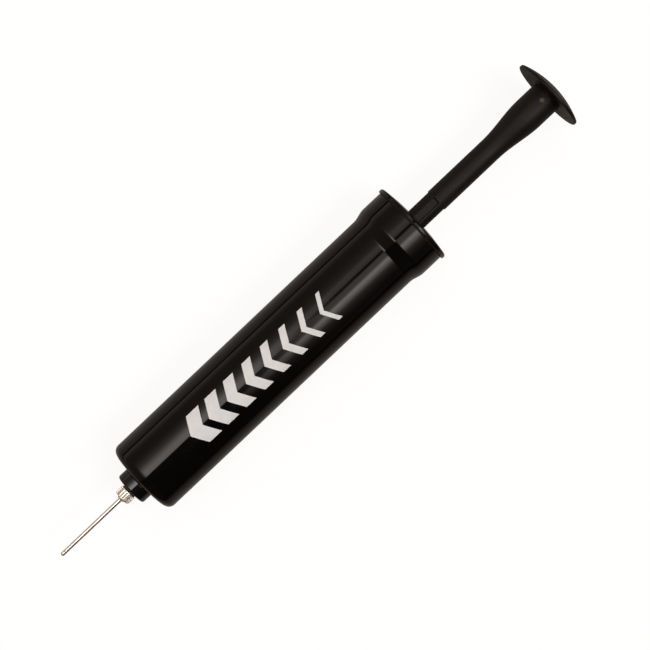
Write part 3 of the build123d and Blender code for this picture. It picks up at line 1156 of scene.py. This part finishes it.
def blended(first, second, share):
    """The first light, which gives way to the second as share goes from 0 to 1."""
    mix = add_node(room, "ShaderNodeMix", data_type="RGBA")
    room.links.new(share, mix.inputs["Factor"])
    room.links.new(first, mix.inputs["A"])
    room.links.new(second, mix.inputs["B"])
    return mix.outputs["Result"]


past_light, needle_light, cap_light = [
    light_ramp(room, across_angle, stops)
    for stops in (PAST_THE_ENDS_LIGHT, NEEDLE_END_LIGHT, CAP_END_LIGHT)
]
before_cap_end = maths(room, "SUBTRACT", 1.0, fade(*CAP_END_FADE))
over_the_pump = maths(room, "MULTIPLY", fade(*NEEDLE_END_FADE), before_cap_end)
soft_boxes = blended(needle_light, cap_light, fade(*BOX_CHANGE))
studio_light = blended(past_light, soft_boxes, over_the_pump)
glow = room.nodes["Background"]
glow.inputs["Strength"].default_value = BRIGHTEST
room.links.new(studio_light, glow.inputs["Color"])
backdrop = add_node(room, "ShaderNodeBackground")
backdrop.inputs["Color"].default_value = (1, 1, 1, 1)
seen_directly = add_node(room, "ShaderNodeLightPath").outputs["Is Camera Ray"]
mixed = add_node(room, "ShaderNodeMixShader")
room.links.new(seen_directly, mixed.inputs["Fac"])
room.links.new(glow.outputs["Background"], mixed.inputs[1])
room.links.new(backdrop.outputs["Background"], mixed.inputs[2])
room.links.new(mixed.outputs["Shader"], room.nodes["World Output"].inputs["Surface"])
print("studio world:", len(room.nodes), "nodes")

# %% [markdown]
# The pump lies on a white table. The table throws light back into the pump's lower edges, which is
# what draws the barrel's outline. To bounce light and reflections the table is painted: a long pale
# patch beside the pump is a painted pool of light, and the table further out is near-black painted
# shade. To the camera the table is lit from within, as a light table is, so that it reads as clean
# white with only a hint of shadow.

# %% Lay the table
FLOOR_HALF = 3.0
FLOOR_Z = -0.0002
# Painted light on the table, seen only by bounce light and reflections: a pale patch beside the
# pump is a painted pool of light, and the table further out is painted shade.
LIGHT_POOL_SHIFT = (0, -0.095, 0)
LIGHT_POOL_SCALE = (0.4, 1, 1)
LIGHT_POOL_INNER = 0.10
LIGHT_POOL_OUTER = 0.32
PAINTED_LIGHT_POOL_TONE = (0.52, 0.51, 0.49, 1)
PAINTED_SHADE_TONE = (0.06, 0.05, 0.045, 1)
SHADOW_TONE = (0.15, 0.15, 0.15, 1)
TABLE_GLOW = 0.90
floor_mesh = bpy.data.meshes.new("table")
floor_mesh.from_pydata(
    [(x * FLOOR_HALF, y * FLOOR_HALF, FLOOR_Z) for x, y in ((-1, -1), (1, -1), (1, 1), (-1, 1))],
    [],
    [(0, 1, 2, 3)],
)
floor = bpy.data.objects.new("table", floor_mesh)
bpy.context.scene.collection.objects.link(floor)
table_white = bpy.data.materials.new("light_table")
table_white.use_nodes = True
table_tree = table_white.node_tree
table_tree.nodes.remove(table_tree.nodes["Principled BSDF"])
bounce = add_node(table_tree, "ShaderNodeBsdfDiffuse")
light_pool_place = add_node(table_tree, "ShaderNodeTexCoord").outputs["Object"]
light_pool_middle = add_node(table_tree, "ShaderNodeMapping")
light_pool_middle.inputs["Location"].default_value = LIGHT_POOL_SHIFT
light_pool_middle.inputs["Scale"].default_value = LIGHT_POOL_SCALE
from_middle = add_node(table_tree, "ShaderNodeVectorMath", operation="LENGTH")
table_tree.links.new(light_pool_place, light_pool_middle.inputs["Vector"])
table_tree.links.new(light_pool_middle.outputs["Vector"], from_middle.inputs[0])
light_pool_edge = add_node(table_tree, "ShaderNodeMapRange", interpolation_type="SMOOTHSTEP")
light_pool_edge.inputs["From Min"].default_value = LIGHT_POOL_INNER
light_pool_edge.inputs["From Max"].default_value = LIGHT_POOL_OUTER
table_tree.links.new(from_middle.outputs["Value"], light_pool_edge.inputs["Value"])
# The painted pool of light fades into painted shade away from the pump.
painted_light_and_shade = add_node(table_tree, "ShaderNodeMix", data_type="RGBA")
painted_light_and_shade.inputs["A"].default_value = PAINTED_LIGHT_POOL_TONE
painted_light_and_shade.inputs["B"].default_value = PAINTED_SHADE_TONE
table_tree.links.new(light_pool_edge.outputs["Result"], painted_light_and_shade.inputs["Factor"])
table_tree.links.new(painted_light_and_shade.outputs["Result"], bounce.inputs["Color"])
shadowed = add_node(table_tree, "ShaderNodeBsdfDiffuse")
shadowed.inputs["Color"].default_value = SHADOW_TONE
lit = add_node(table_tree, "ShaderNodeEmission")
lit.inputs["Strength"].default_value = TABLE_GLOW
light_table = add_node(table_tree, "ShaderNodeAddShader")
table_tree.links.new(shadowed.outputs["BSDF"], light_table.inputs[0])
table_tree.links.new(lit.outputs["Emission"], light_table.inputs[1])
table_mix = add_node(table_tree, "ShaderNodeMixShader")
to_eye = add_node(table_tree, "ShaderNodeLightPath").outputs["Is Camera Ray"]
table_tree.links.new(to_eye, table_mix.inputs["Fac"])
table_tree.links.new(bounce.outputs["BSDF"], table_mix.inputs[1])
table_tree.links.new(light_table.outputs["Shader"], table_mix.inputs[2])
table_tree.links.new(
    table_mix.outputs["Shader"], table_tree.nodes["Material Output"].inputs["Surface"]
)
floor_mesh.materials.append(table_white)
print("table laid at z =", FLOOR_Z)

# %% [markdown]
# ## The camera
# The picture is taken from straight above with a long lens, turned so that the pump runs from the
# lower left to the upper right. Depth of field stays off, and the view is not tone-mapped, so the
# white stays white.

# %% Place the camera
CAMERA_HEIGHT = 0.944
CAMERA_OVER = (0.0044, -0.0061)
CAMERA_TURN = radians(-43.415)
FOCAL_MM = 119.08
lens = bpy.data.cameras.new("camera")
lens.lens = FOCAL_MM
lens.sensor_width = 36.0
camera = bpy.data.objects.new("camera", lens)
camera.location = (*CAMERA_OVER, AXIS_Z + CAMERA_HEIGHT)
camera.rotation_euler = (0, 0, CAMERA_TURN)
bpy.context.scene.collection.objects.link(camera)
bpy.context.scene.camera = camera
bpy.context.scene.view_settings.view_transform = "Standard"
print("camera", tuple(round(c, 4) for c in camera.location))
